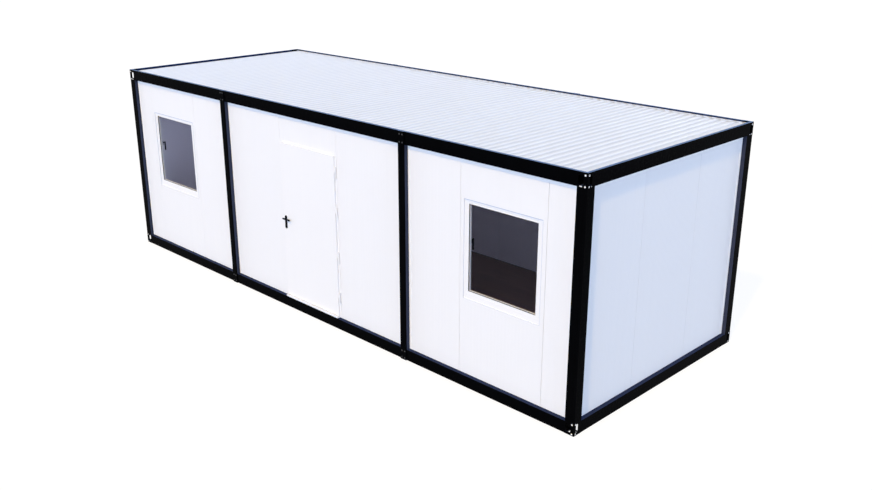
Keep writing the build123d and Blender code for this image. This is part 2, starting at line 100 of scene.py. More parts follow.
# Bolts and tabs of the frame
BOLT_FROM_EDGE = 0.025
BOLT_HEIGHTS = (0.017, RAIL_TOP - 0.011, RAIL_UNDER + 0.009, ROOF_TOP - 0.027)
BOLT_RADIUS = 0.0088
HEXAGON = 6
WASHER_SIDES = 20
CROWN_SIDES = 12
FLUSH_SIDES = 24
BOLT_PROUD = 0.006
WASHER_PROUD = BOLT_PROUD * 0.3
HEAD_PROUD = BOLT_PROUD * 0.85
HEAD_RADIUS = BOLT_RADIUS * 0.78
CROWN_RADIUS = BOLT_RADIUS * 0.62
FLUSH_PROUD = 0.0001
SOCKET_SHARE = 0.42
TAB_FROM_EDGE = 0.0705
TAB_Z = RAIL_UNDER + 0.008
TAB_LENGTH = 0.028
TAB_HEIGHT = 0.009
TAB_CORNER = TAB_HEIGHT * 0.45
TAB_THICKNESS = 0.003
END_DOT_RADIUS = BOLT_RADIUS * 0.45
END_DOT_FROM_EDGE = TAB_FROM_EDGE - 0.0095
PLATE_BOLT_RADIUS = BOLT_RADIUS * 0.9
PLATE_BOLT_SPREAD = 0.022
PLATE_BOLT_HEIGHTS = (0.025, 0.105, 2.482, 2.567)

# Strips at the ends of the roof ribs
CLOSER_DEPTH = 0.012
CLOSER_BELOW_CREST = 0.0005

# Windows
SEAL_SETBACK = 0.001
SEAL_THICKNESS = 0.002
BEAD_WIDTH = 0.004
BEAD_DEPTH = 0.009
# Silicone line round each casing, widest over it, whose grey-blue tone is a painted shadow line
SEALANT_SHADOW_WIDTH = 0.0015
SEALANT_SHADOW_TOP_WIDTH = 0.005
SEALANT_SHADOW_DEPTH = 0.002

# Door
LEAF_FLANGE = 0.015
HEAD_BAR_HEIGHT = 0.014
HEAD_BAR_PROUD = 0.003
DOOR_SEAL_INSET = 0.001
DOOR_SEAL_WIDTH = 0.010
DOOR_SEAL_CLEARANCE = 0.001

# Floor planks
PLANK_WIDTH = 0.16
PLANK_LENGTH = 1.28
PLANK_GROOVE = 0.0015
PLANK_SHIFTS = 5
PLANK_SHIFT_STEP = 2

# The usual low and high ends of a noise texture, and of long streaks
NOISE_LOW = 0.3
NOISE_HIGH = 0.7
STREAK_LOW = 0.35
STREAK_HIGH = 0.65

# Heights between which a painted highlight comes in on the roof's crests, and a painted reflection
# changes on the frame near the roof
CREST_FROM = ROOF_TOP - 0.028
CREST_TO = ROOF_TOP - 0.022
RIM_FROM = ROOF_TOP - 0.10
RIM_TO = ROOF_TOP - 0.09

# Depths behind the frame's outer faces where the painted reflection on its inner faces starts and is
# full, and how near it comes to the outer faces beside it
REFLECTION_FROM = 0.0015
REFLECTION_FULL = 0.0025
REFLECTION_BESIDE = 0.001


def side_frame(name):
    """Local frame of one side of the cabin: X to the right seen from outside, Y inwards, Z up."""
    turns = {"front": 0, "right": 90, "back": 180, "left": 270}
    out = {"front": (0, -SIDE_Y), "right": (END_X, 0), "back": (0, SIDE_Y), "left": (-END_X, 0)}
    x, y = out[name]
    return Matrix.Translation((x, y, 0)) @ Matrix.Rotation(math.radians(turns[name]), 4, "Z")


SIDES = {name: side_frame(name) for name in ("front", "right", "back", "left")}


# Mesh helpers

def piece(name, bm, paint, body):
    """Turn a bmesh into a named piece that rides on a body."""
    bmesh.ops.recalc_face_normals(bm, faces=bm.faces)
    mesh = bpy.data.meshes.new(name)
    bm.to_mesh(mesh)
    bm.free()
    mesh.materials.append(paint)
    obj = bpy.data.objects.new(name, mesh)
    bpy.context.scene.collection.objects.link(obj)
    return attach(obj, body)


def prism(bm, outline, start, end, place):
    """Closed prism: an outline of (a, b) points run from start to end, put in the model by place."""
    first = [bm.verts.new(place(a, b, start)) for a, b in outline]
    last = [bm.verts.new(place(a, b, end)) for a, b in outline]
    count = len(outline)
    for i in range(count):
        j = (i + 1) % count
        bm.faces.new((first[i], first[j], last[j], last[i]))
    bm.faces.new(list(reversed(first)))
    bm.faces.new(last)


def bevelled_box(bm, low, high, bevel, matrix=None):
    """A box with all its edges rounded off a little."""
    made = bmesh.ops.create_cube(bm, size=1.0)["verts"]
    size = Vector(high) - Vector(low)
    middle = (Vector(high) + Vector(low)) / 2
    for vert in made:
        vert.co = Vector(c * s for c, s in zip(vert.co, size)) + middle
    edges = list({edge for vert in made for edge in vert.link_edges})
    before = set(bm.verts) - set(made)
    if bevel > 0:
        bmesh.ops.bevel(bm, geom=edges, offset=bevel, segments=BEVEL_STEPS, profile=BEVEL_FULLNESS,
                        affect="EDGES")
    if matrix is not None:
        bmesh.ops.transform(bm, matrix=matrix, verts=list(set(bm.verts) - before))


def rounded(width, height, corner, steps=4):
    """Outline of a rectangle with round corners, centred."""
    points = []
    for i in range(4):
        cx = (width / 2 - corner) * (1 if i in (0, 3) else -1)
        cy = (height / 2 - corner) * (1 if i in (0, 1) else -1)
        for k in range(steps + 1):
            angle = math.radians(90 * i + 90 * k / steps)
            points.append((cx + corner * math.cos(angle), cy + corner * math.sin(angle)))
    return points


def circle(radius, count):
    """Outline of a regular polygon with its corners on a circle."""
    angles = [math.tau * i / count for i in range(count)]
    return [(radius * math.cos(angle), radius * math.sin(angle)) for angle in angles]


def skin_loops(bm, loops):
    """A closed ring: four loops of points, each joined to the next and the last to the first."""
    made = [[bm.verts.new(point) for point in loop] for loop in loops]
    count = len(made[0])
    for k in range(4):
        first, second = made[k], made[(k + 1) % 4]
        for i in range(count):
            j = (i + 1) % count
            bm.faces.new((first[i], first[j], second[j], second[i]))


def on_face(matrix, u, z, depth=0.0):
    """Placer for outlines drawn on an outer face: a to the right, b up, c outwards from the face."""
    return lambda a, b, c: matrix @ Vector((u + a, depth - c, z + b))


# Solids of a CAD node

def solids(name):
    """Vertex sets of the separate solids of one node."""
    mesh = nodes[name].data
    keys = [tuple(round(c, POINT_DIGITS) for c in v.co) for v in mesh.vertices]
    parent = {key: key for key in keys}

    def root(key):
        while parent[key] != key:
            parent[key] = parent[parent[key]]
            key = parent[key]
        return key

    for polygon in mesh.polygons:
        first = root(keys[polygon.vertices[0]])
        for index in polygon.vertices[1:]:
            parent[root(keys[index])] = first
    groups = {}
    for key in parent:
        groups.setdefault(root(key), []).append(key)
    return sorted(groups.values(), key=min)


def span(points, axis):
    """Lowest and highest value of the points along one axis."""
    values = [p[axis] for p in points]
    return min(values), max(values)


# Materials

class Paint:
    """A material under construction, with short calls for the nodes that it needs."""

    def __init__(self, name):
        self.material = bpy.data.materials.new(name)
        self.material.use_nodes = True
        self.tree = self.material.node_tree
        self.shader = self.tree.nodes["Principled BSDF"]
        self.space = self.tree.nodes.new("ShaderNodeTexCoord").outputs["Object"]

    def set(self, **values):
        """Plain values of the shader."""
        for key, value in values.items():
            self.shader.inputs[key.replace("_", " ")].default_value = value
        return self

    def node(self, kind, **inputs):
        """A new node with its inputs filled in."""
        made = self.tree.nodes.new(kind)
        for key, value in inputs.items():
            self.put(made.inputs[key], value)
        return made

    def put(self, socket, value):
        """Link a socket to another, or give it a plain value."""
        if isinstance(value, bpy.types.NodeSocket):
            self.tree.links.new(value, socket)
        else:
            socket.default_value = value

    def stretched(self, x, y, z):
        """Object coordinates scaled along each axis, for grain and streaks."""
        return self.node("ShaderNodeMapping", Vector=self.space, Scale=(x, y, z)).outputs[0]

    def noise(self, scale, detail=3.0, rough=0.5, vector=None):
        made = self.node("ShaderNodeTexNoise", Vector=vector or self.space, Scale=scale, Detail=detail)
        made.inputs["Roughness"].default_value = rough
        return made.outputs["Fac"]

    def fit(self, value, low, high, to_low, to_high):
        """Map a value from one range to another, clamped."""
        made = self.node("ShaderNodeMapRange", Value=value)
        ends = {"From Min": low, "From Max": high, "To Min": to_low, "To Max": to_high}
        for key, number in ends.items():
            made.inputs[key].default_value = number
        return made.outputs[0]

    def varied(self, noise, low, high):
        """Spread a noise over a range of values."""
        return self.fit(noise, NOISE_LOW, NOISE_HIGH, low, high)

    def streaky(self, streaks):
        """Share from 0 to 1 out of a noise that was stretched into streaks."""
        return self.fit(streaks, STREAK_LOW, STREAK_HIGH, 0.0, 1.0)

    def maths(self, operation, *values):
        """Result of one Math node."""
        made = self.tree.nodes.new("ShaderNodeMath")
        made.operation = operation
        for socket, value in zip(made.inputs, values):
            self.put(socket, value)
        return made.outputs[0]

    def times(self, a, b):
        return self.maths("MULTIPLY", a, b)

    def mix(self, factor, a, b):
        """Colour between a and b."""
        made = self.tree.nodes.new("ShaderNodeMix")
        made.data_type = "RGBA"
        self.put(made.inputs["Factor"], factor)
        for socket, value in ((made.inputs[6], a), (made.inputs[7], b)):
            self.put(socket, value if isinstance(value, bpy.types.NodeSocket) else (*value, 1.0))
        return made.outputs[2]

    def colour(self, value):
        self.put(self.shader.inputs["Base Color"], value)
        return self

    def roughness(self, value):
        self.put(self.shader.inputs["Roughness"], value)
        return self

    def bump(self, height, distance, strength=1.0):
        made = self.node("ShaderNodeBump", Height=height, Distance=distance, Strength=strength)
        self.tree.links.new(made.outputs[0], self.shader.inputs["Normal"])
        return self

    def parts(self, vector):
        """X, Y and Z of a vector."""
        return self.node("ShaderNodeSeparateXYZ", Vector=vector).outputs

    def normal(self):
        """Parts of the direction in which the face looks."""
        return self.parts(self.tree.nodes.new("ShaderNodeNewGeometry").outputs["True Normal"])

    def facing_up(self):
        """1 on faces that look up, 0 on the others."""
        return self.fit(self.normal()["Z"], 0.6, 0.95, 0.0, 1.0)

    def facing_sideways_inside(self):
        """1 on upright faces that lie behind the outer faces of the frame, 0 on the others."""
        total = 0.0
        for axis, other, edge, other_edge in (("X", "Y", END_X, SIDE_Y), ("Y", "X", SIDE_Y, END_X)):
            turned = self.fit(self.maths("ABSOLUTE", self.normal()[axis]), 0.8, 0.95, 0.0, 1.0)
            place = self.parts(self.space)
            depth = self.maths("ABSOLUTE", place[axis])
            behind = self.fit(depth, edge - REFLECTION_FULL, edge - REFLECTION_FROM, 1.0, 0.0)
            aside = self.maths("ABSOLUTE", place[other])
            beside = self.fit(aside, other_edge - REFLECTION_BESIDE, other_edge, 1.0, 0.0)
            total = self.maths("ADD", total, self.times(self.times(turned, behind), beside))
        return total

    def height(self):
        """Height over the ground."""
        return self.parts(self.space)["Z"]


def black_steel(name, reflects_inside):
    """Black powder coat. The outer faces are nearly black. The ledges, and with reflects_inside the
    upright faces inside the frame too, carry a painted blue-grey reflection of the sky, which turns a
    brighter blue on the ledges near the roof."""
    paint = Paint(name).set(IOR=1.04)
    high = paint.fit(paint.height(), RIM_FROM, RIM_TO, 0.0, 1.0)
    plain_black = paint.mix(paint.noise(9.0), (0.0008, 0.0009, 0.0013), (0.0016, 0.0018, 0.0024))
    # Painted reflection: blue-grey tones for the faces inside the frame and for the ledges, standing in
    # for reflected sky
    sides = paint.mix(high, (0.042, 0.050, 0.086), (0.016, 0.028, 0.090))
    ledges = paint.mix(high, (0.022, 0.032, 0.078), (0.13, 0.225, 0.43))
    patchy = paint.varied(paint.noise(3.0), 0.85, 1.0)
    inside = paint.times(paint.facing_sideways_inside(), patchy) if reflects_inside else 0.0
    paint.colour(paint.mix(paint.facing_up(), paint.mix(inside, plain_black, sides), ledges))
    paint.roughness(paint.varied(paint.noise(40.0, 5.0), 0.20, 0.32))
    return paint.bump(paint.noise(900.0, 2.0), 0.0001, 0.1).material


def skin_paint(name, colour, shade):
    """White coil coating: faint clouds of tone, long faint vertical streaks and an orange-peel skin."""
    paint = Paint(name)
    streaks = paint.noise(1.0, 2.0, vector=paint.stretched(22.0, 22.0, 0.6))
    tone = paint.streaky(streaks)
    clouds = paint.mix(paint.noise(1.3, 2.0), colour, shade)
    paint.colour(paint.mix(paint.times(tone, 0.5), clouds, shade))
    paint.roughness(paint.varied(paint.noise(18.0), 0.42, 0.55))
    return paint.bump(paint.noise(600.0, 2.0), 0.0001, 0.15).material


def wall_skin():
    """Coating of the wall panels."""
    return skin_paint("wall_skin", (0.900, 0.905, 0.935), (0.875, 0.882, 0.918))


def trim_white():
    """Brighter white of the trim strips and glass beads. Part of its lift over the wall's white is
    painted light, which offsets the shade that the posts throw on the strips beside them.
    """
    return skin_paint("trim_white", (0.985, 0.986, 0.995), (0.972, 0.974, 0.988))


def door_white():
    """Paint of the door, its frame and hinges."""
    return skin_paint("door_white", (0.905, 0.908, 0.935), (0.885, 0.89, 0.922))


def sill_white():
    """Paint of the sill and the drip bar, darker and bluer than the leaf: painted shade that tones down
    their sunlit tops.
    """
    return skin_paint("sill_white", (0.860, 0.885, 0.950), (0.840, 0.870, 0.940))


def ceiling_white():
    """Plain white of the ceiling panels."""
    return skin_paint("ceiling_white", (0.86, 0.86, 0.87), (0.83, 0.83, 0.845))


def window_plastic():
    """White window profile: smooth, a little glossy, with a very fine grain."""
    paint = Paint("window_plastic")
    paint.colour(paint.mix(paint.noise(5.0), (0.905, 0.910, 0.940), (0.890, 0.896, 0.930)))
    paint.roughness(paint.varied(paint.noise(60.0), 0.25, 0.38))
    return paint.bump(paint.noise(1500.0, 2.0), 0.00005, 0.2).material


def roof_steel():
    """Coated roof sheet: bluish white with faint streaks in the valleys, and paler crests that are a
    painted highlight along the rib tops.
    """
    paint = Paint("roof_steel").set(IOR=1.35)
    crest_highlight = paint.fit(paint.height(), CREST_FROM, CREST_TO, 0.0, 1.0)
    streaks = paint.noise(1.0, 3.0, vector=paint.stretched(14.0, 0.8, 1.0))
    valley = paint.mix(paint.streaky(streaks), (0.670, 0.738, 0.875), (0.703, 0.772, 0.905))
    # Painted highlight: the crests take a paler tone than the valleys
    paint.colour(paint.mix(crest_highlight, valley, (0.800, 0.860, 0.965)))
    paint.roughness(paint.varied(paint.noise(25.0), 0.40, 0.60))
    return paint.bump(paint.noise(500.0, 2.0), 0.0001, 0.2).material


def galvanised():
    """Hot-dip zinc with spangles."""
    paint = Paint("galvanised").set(Metallic=1.0)
    cells = paint.node("ShaderNodeTexVoronoi", Vector=paint.space, Scale=70.0)
    paint.colour(paint.mix(cells.outputs["Color"], (0.50, 0.51, 0.53), (0.68, 0.69, 0.71)))
    paint.roughness(paint.varied(paint.noise(50.0), 0.35, 0.55))
    return paint.bump(paint.noise(300.0), 0.0001, 0.2).material


def bright_zinc():
    """Bright zinc of bolts and tabs."""
    paint = Paint("bright_zinc").set(Metallic=0.25)
    paint.colour(paint.mix(paint.noise(200.0), (0.86, 0.86, 0.87), (0.95, 0.95, 0.95)))
    paint.roughness(paint.varied(paint.noise(350.0), 0.25, 0.42))
    return paint.bump(paint.noise(900.0), 0.00005, 0.3).material


def grey_zinc():
    """Dark grey zinc of the bolts in the cover plates."""
    paint = Paint("grey_zinc").set(Metallic=0.25)
    paint.colour(paint.mix(paint.noise(200.0), (0.045, 0.045, 0.05), (0.070, 0.070, 0.078)))
    paint.roughness(paint.varied(paint.noise(350.0), 0.35, 0.5))
    return paint.bump(paint.noise(900.0), 0.00005, 0.3).material


def black_plastic():
    """Black handle plastic with a fine eroded grain."""
    paint = Paint("black_plastic").set(IOR=1.1)
    paint.colour(paint.mix(paint.noise(30.0), (0.002, 0.002, 0.003), (0.005, 0.005, 0.006)))
    paint.roughness(paint.varied(paint.noise(80.0), 0.30, 0.45))
    return paint.bump(paint.noise(2500.0, 2.0), 0.00005, 0.4).material


def rubber():
    """Black seal rubber."""
    paint = Paint("rubber").set(IOR=1.12)
    paint.colour(paint.mix(paint.noise(60.0), (0.010, 0.012, 0.022), (0.018, 0.022, 0.036)))
    paint.roughness(paint.varied(paint.noise(120.0), 0.55, 0.75))
    return paint.bump(paint.noise(1200.0, 2.0), 0.0001, 0.4).material


def white_rubber():
    """White seal of the door."""
    paint = Paint("white_rubber").set(IOR=1.3)
    paint.colour(paint.mix(paint.noise(60.0), (0.86, 0.87, 0.93), (0.90, 0.91, 0.96)))
    paint.roughness(paint.varied(paint.noise(120.0), 0.55, 0.75))
    return paint.bump(paint.noise(1200.0, 2.0), 0.0001, 0.3).material


def sealant_shadow():
    """Grey-blue silicone round the windows, whose tone is a painted shadow line along each casing's
    edge.
    """
    paint = Paint("sealant_shadow").set(IOR=1.4)
    paint.colour(paint.mix(paint.noise(25.0), (0.50, 0.57, 0.72), (0.56, 0.63, 0.78)))
    paint.roughness(paint.varied(paint.noise(90.0), 0.35, 0.5))
    return paint.bump(paint.noise(150.0, 2.0), 0.0002, 0.3).material


def floor_wood():
    """Dark brown laminate planks: long grain along the planks, tone from plank to plank."""
    paint = Paint("floor_wood").set(IOR=1.3)
    row = paint.maths("SNAP", paint.parts(paint.space)["Y"], PLANK_WIDTH)
    tone = paint.tree.nodes.new("ShaderNodeTexWhiteNoise")
    tone.noise_dimensions = "1D"
    paint.put(tone.inputs["W"], row)
    grain = paint.noise(1.0, 6.0, 0.65, paint.stretched(3.0, 60.0, 60.0))
    dark = paint.mix(paint.varied(grain, 0.0, 1.0), (0.168, 0.112, 0.094), (0.335, 0.230, 0.194))
    paint.colour(paint.mix(paint.times(tone.outputs["Value"], 0.45), dark, (0.200, 0.138, 0.120)))
    paint.roughness(paint.varied(grain, 0.35, 0.55))
    return paint.bump(grain, 0.0003, 0.35).material


def window_glass():
    """Clear glass with a slight grey tint, which daylight passes as through a thin layer."""
    paint = Paint("window_glass").set(Alpha=0.04, IOR=1.5)
    paint.colour(paint.mix(paint.noise(0.8), (0.004, 0.004, 0.005), (0.008, 0.008, 0.010)))
    paint.roughness(paint.varied(paint.noise(4.0), 0.02, 0.05))
    return paint.material


BLACK = black_steel("black_steel", True)
FITTING_BLACK = black_steel("fitting_black", False)
GALVANISED = galvanised()
SKIN = wall_skin()
TRIM = trim_white()
DOOR_WHITE = door_white()
SILL_WHITE = sill_white()
PLASTIC = window_plastic()
ROOF_WHITE = roof_steel()
ZINC = bright_zinc()
GREY_ZINC = grey_zinc()
RUBBER = rubber()
HANDLE = black_plastic()


def dress_nodes():
    """Give each CAD node the paint of the longest name start that fits it."""
    paints = {
        "base_rail": BLACK,
        "roof_rail": BLACK,
        "corner_post": BLACK,
        "mid_post": BLACK,
        "low_fitting": FITTING_BLACK,
        "high_fitting": FITTING_BLACK,
        "foot_plates": FITTING_BLACK,
        "floor_joists": GALVANISED,
        "roof_purlins": GALVANISED,
        "ceiling": ceiling_white(),
        "roof_sheet": ROOF_WHITE,
        "window_casings": PLASTIC,
        "window_sashes": PLASTIC,
        "window_panes": window_glass(),
        "window_latches": HANDLE,
        "lock_plates": HANDLE,
        "door_levers": HANDLE,
        "door_": DOOR_WHITE,
        "door_sill": SILL_WHITE,
        "hinge_": DOOR_WHITE,
        "front_wall": SKIN,
        "back_wall": SKIN,
        "end_wall": SKIN,
    }
    for name, node in nodes.items():
        match = max((key for key in paints if name.startswith(key)), key=len, default=None)
        if match:
            node.data.materials.clear()
            node.data.materials.append(paints[match])


# Wall panels

def grooved(start, end, face, inward):
    """One skin of a panel from start to end, with a small groove at each step of the pitch and the
    edges set back a little, so that a fine gap shows at each seam.
    face is its plane and inward the direction into the panel, 1 or -1."""
    sign = 1 if end > start else -1
    start += sign * SEAM_GAP / 2
    end -= sign * SEAM_GAP / 2
    width = abs(end - start)
    bands = max(int(width / GROOVE_PITCH), 1)
    pitch = width / bands
    bevel_end = face + inward * SEAM_BEVEL
    gap_end = face + inward * SEAM_DEPTH
    groove_floor = face + inward * GROOVE_DEPTH
    points = [(start, gap_end), (start, bevel_end), (start + sign * SEAM_BEVEL, face)]
    for i in range(1, bands):
        middle = start + sign * i * pitch
        points.append((middle - sign * GROOVE_MOUTH / 2, face))
        points.append((middle - sign * GROOVE_FLOOR / 2, groove_floor))
        points.append((middle + sign * GROOVE_FLOOR / 2, groove_floor))
        points.append((middle + sign * GROOVE_MOUTH / 2, face))
    return points + [(end - sign * SEAM_BEVEL, face), (end, bevel_end), (end, gap_end)]


def panel_outline(points, across, through):
    """Cross section of one panel solid, with fine grooves and with the tongues or slots of its edges."""
    front, back = span(points, through)
    low, high = span([p for p in points if abs(p[through] - front) < LEVEL], across)
    inner = [p for p in points if front + SKIN_REACH < p[through] < back - SKIN_REACH]
    outline = grooved(low, high, front, 1)
    tongue_low, tongue_high = edge_step(inner, low, across), edge_step(inner, high, across)
    bar = span(inner, through) if inner else (0.0, 0.0)
    if tongue_high is not None:
        outline += [(high, bar[0]), (tongue_high, bar[0]), (tongue_high, bar[1]), (high, bar[1])]
    outline += grooved(high, low, back, -1)
    if tongue_low is not None:
        outline += [(low, bar[1]), (tongue_low, bar[1]), (tongue_low, bar[0]), (low, bar[0])]
    return outline


def edge_step(inner, edge, axis):
    """Where the tongue or groove beside an edge ends, or None on a plain edge."""
    near = [p[axis] for p in inner if LEVEL < abs(p[axis] - edge) < EDGE_REACH]
    return near[0] if near else None


def cut_out(bm, low, high):
    """The mesh of a panel with a box cut out of it."""
    cutter = bmesh.new()
    bevelled_box(cutter, low, high, 0.0)
    made = []
    for name, source in (("panel", bm), ("cutter", cutter)):
        bmesh.ops.recalc_face_normals(source, faces=source.faces)
        mesh = bpy.data.meshes.new(name)
        source.to_mesh(mesh)
        source.free()
        made.append(bpy.data.objects.new(name, mesh))
        bpy.context.scene.collection.objects.link(made[-1])
    panel, box = made
    cut = panel.modifiers.new("cut", "BOOLEAN")
    cut.operation = "DIFFERENCE"
    cut.solver = "EXACT"
    cut.object = box
    result = bpy.data.meshes.new_from_object(panel.evaluated_get(bpy.context.evaluated_depsgraph_get()))
    for obj in made:
        bpy.data.meshes.remove(obj.data)
    return result


def as_drawn(a, b, c):
    """Placer for the outlines of panels that run along X."""
    return Vector((a, b, c))


def crosswise(a, b, c):
    """Placer for the outlines of panels that run along Y."""
    return Vector((b, a, c))


def panel_round_window(points, outline, levels):
    """Mesh of the panel that stands on the one below a window, with the window's hole in it."""
    _, sill, head, top = levels
    whole = bmesh.new()
    prism(whole, outline, sill + PANEL_GAP, top, as_drawn)
    left, right = span([p for p in points if p[2] == head], 0)
    front, back = span(points, 1)
    low = (left, front - CUT_MARGIN, sill - CUT_MARGIN)
    return cut_out(whole, low, (right, back + CUT_MARGIN, head))


def wall_panels():
    """Panels with fine grooves in the place of the plain ones."""
    for name in sorted(n for n in nodes if "_wall" in n):
        across, through, place = (1, 0, crosswise) if name.startswith("end") else (0, 1, as_drawn)
        bm = bmesh.new()
        for points in solids(name):
            outline = panel_outline(points, across, through)
            levels = sorted({p[2] for p in points})
            prism(bm, outline, levels[0], levels[1], place)
            if len(levels) > 2:
                cut = panel_round_window(points, outline, levels)
                bm.from_mesh(cut)
                bpy.data.meshes.remove(cut)
        made = piece(f"{name}_panels", bm, SKIN, CABIN)
        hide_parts(name)


# Trim strips

def bays():
    """(side, low edge, high edge) of each wall bay, in the side's own frame."""
    mid_low, mid_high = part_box("mid_post_front_right")
    rows = []
    for side in ("front", "back"):
        rows.append((side, -BAY_EDGE_X, -mid_high.x))
        rows.append((side, -mid_low.x, mid_low.x))
        rows.append((side, mid_high.x, BAY_EDGE_X))
    return rows + [("right", -BAY_EDGE_Y, BAY_EDGE_Y), ("left", -BAY_EDGE_Y, BAY_EDGE_Y)]


def trim_bar(bm, side, u0, u1, z0, z1):
    """One strip on the wall of a side."""
    bevelled_box(bm, (u0, RECESS - TRIM_PROUD, z0), (u1, RECESS, z1), TRIM_ROUND, SIDES[side])


def edge_trims():
    """Thin strips that close each bay towards its posts and under the roof rail."""
    bm = bmesh.new()
    for side, u0, u1 in bays():
        trim_bar(bm, side, u0, u1, RAIL_UNDER - TOP_TRIM, RAIL_UNDER)
        trim_bar(bm, side, u0, u0 + SIDE_TRIM, RAIL_TOP, RAIL_UNDER - TOP_TRIM)
        trim_bar(bm, side, u1 - SIDE_TRIM, u1, RAIL_TOP, RAIL_UNDER - TOP_TRIM)
    piece("edge_trims", bm, TRIM, CABIN)


# Bolts and tabs

def hex_bolt(bm, place):
    """Washer, hexagon head and a low crown."""
    prism(bm, circle(BOLT_RADIUS, WASHER_SIDES), 0.0, WASHER_PROUD, place)
    prism(bm, circle(HEAD_RADIUS, HEXAGON), WASHER_PROUD, HEAD_PROUD, place)
    prism(bm, circle(CROWN_RADIUS, CROWN_SIDES), HEAD_PROUD, BOLT_PROUD, place)


def flush_bolt(bm, place, radius):
    """Countersunk head: a thin ring round a hexagon socket."""
    outer = circle(radius, FLUSH_SIDES)
    corners = circle(radius * SOCKET_SHARE, HEXAGON)
    steps = FLUSH_SIDES // HEXAGON
    socket = []
    for k, corner in enumerate(corners):
        following = corners[(k + 1) % HEXAGON]
        for i in range(steps):
            socket.append([a + (b - a) * i / steps for a, b in zip(corner, following)])
    rings = [(outer, 0.0), (outer, FLUSH_PROUD), (socket, FLUSH_PROUD), (socket, 0.0)]
    skin_loops(bm, [[place(a, b, c) for a, b in ring] for ring, c in rings])


def corner_faces():
    """(side, place along it, sign towards the middle) of the two fittings on each side."""
    return [(side, sign * (END_X if side in ("front", "back") else SIDE_Y), -sign)
            for side in SIDES for sign in (-1, 1)]


def frame_bolts():
    """Proud bolts and a tab on the long sides' fittings, flush bolts and a dot on the ends'."""
    proud = bmesh.new()
    flush = bmesh.new()
    tabs = bmesh.new()
    tab_outline = rounded(TAB_LENGTH, TAB_HEIGHT, TAB_CORNER)
    for side, edge, inwards in corner_faces():
        for z in BOLT_HEIGHTS:
            place = on_face(SIDES[side], edge + inwards * BOLT_FROM_EDGE, z)
            if side in ("front", "back"):
                hex_bolt(proud, place)
            else:
                flush_bolt(flush, place, BOLT_RADIUS)
        if side in ("front", "back"):
            place = on_face(SIDES[side], edge + inwards * TAB_FROM_EDGE, TAB_Z)
            prism(tabs, tab_outline, 0.0, TAB_THICKNESS, place)
        else:
            place = on_face(SIDES[side], edge + inwards * END_DOT_FROM_EDGE, TAB_Z)
            flush_bolt(flush, place, END_DOT_RADIUS)
    piece("fitting_bolts", proud, ZINC, CABIN)
    piece("fitting_end_bolts", flush, ZINC, CABIN)
    piece("fitting_tabs", tabs, ZINC, CABIN)


def plate_bolts():
    """Flush bolts in pairs on the cover plates of the middle posts."""
    bm = bmesh.new()
    low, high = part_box("mid_post_front_right")
    for side in ("front", "back"):
        for middle in (-(low.x + high.x) / 2, (low.x + high.x) / 2):
            for z in PLATE_BOLT_HEIGHTS:
                for offset in (-PLATE_BOLT_SPREAD, PLATE_BOLT_SPREAD):
                    place = on_face(SIDES[side], middle + offset, z, -PLATE_PROUD)
                    flush_bolt(bm, place, PLATE_BOLT_RADIUS)
    piece("cover_plate_bolts", bm, GREY_ZINC, CABIN)


# Windows

def ring(bm, x0, x1, z0, z1, band, y0, y1):
    """A rectangular ring whose four bars meet at mitres, band wide, measured inwards."""
    loops = []
    for inset, y in ((0.0, y0), (0.0, y1), (band, y1), (band, y0)):
        left, right = x0 + inset, x1 - inset
        low, high = z0 + inset, z1 - inset
        loops.append([(left, y, low), (right, y, low), (right, y, high), (left, y, high)])
    skin_loops(bm, loops)


def windows():
    """A dark seal round each opening of a sash, a white bead that holds the pane behind it, and a line
    of grey-blue silicone between casing and wall, which is widest over the casing and whose tone is a
    painted shadow line."""
    seals = bmesh.new()
    beads = bmesh.new()
    sealant_shadow_lines = bmesh.new()
    for casing in solids("window_casings"):
        (x0, x1), (z0, z1) = span(casing, 0), span(casing, 2)
        wide = SEALANT_SHADOW_WIDTH
        front = WALL_LOW.y - SEALANT_SHADOW_DEPTH
        ring(sealant_shadow_lines, x0 - wide, x1 + wide, z0 - wide, z1 + wide, wide, front, WALL_LOW.y)
        top = z1 + wide + SEALANT_SHADOW_TOP_WIDTH
        bevelled_box(sealant_shadow_lines, (x0 - wide, front, z1 + wide), (x1 + wide, WALL_LOW.y, top), 0.0)
    for sash, pane in zip(solids("window_sashes"), solids("window_panes")):
        sash_y = span(sash, 1)[0]
        glass_y = span(pane, 1)[0]
        inside = [p for p in sash if abs(p[1] - sash_y) < LEVEL]
        xs = sorted({p[0] for p in inside})
        zs = sorted({p[2] for p in inside})
        x0, x1, z0, z1 = xs[1], xs[2], zs[1], zs[2]
        ring(seals, x0, x1, z0, z1, SEAL_THICKNESS, sash_y + SEAL_SETBACK, glass_y - BEAD_DEPTH)
        ring(beads, x0, x1, z0, z1, BEAD_WIDTH, glass_y - BEAD_DEPTH, glass_y)
    piece("window_seals", seals, RUBBER, CABIN)
    piece("window_beads", beads, TRIM, CABIN)
    piece("window_sealant_shadow", sealant_shadow_lines, sealant_shadow(), CABIN)


# Roof

def rib_closers():
    """Plain strips at the two ends of the roof ribs, which close the valleys towards the rails."""
    low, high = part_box("roof_sheet")
    top = high.z - CLOSER_BELOW_CREST
    bm = bmesh.new()
    for y0, y1 in ((low.y, low.y + CLOSER_DEPTH), (high.y - CLOSER_DEPTH, high.y)):
        bevelled_box(bm, (low.x, y0, low.z + CLOSER_BELOW_CREST), (high.x, y1, top), 0.0)
    piece("rib_closers", bm, ROOF_WHITE, CABIN)


# Floor

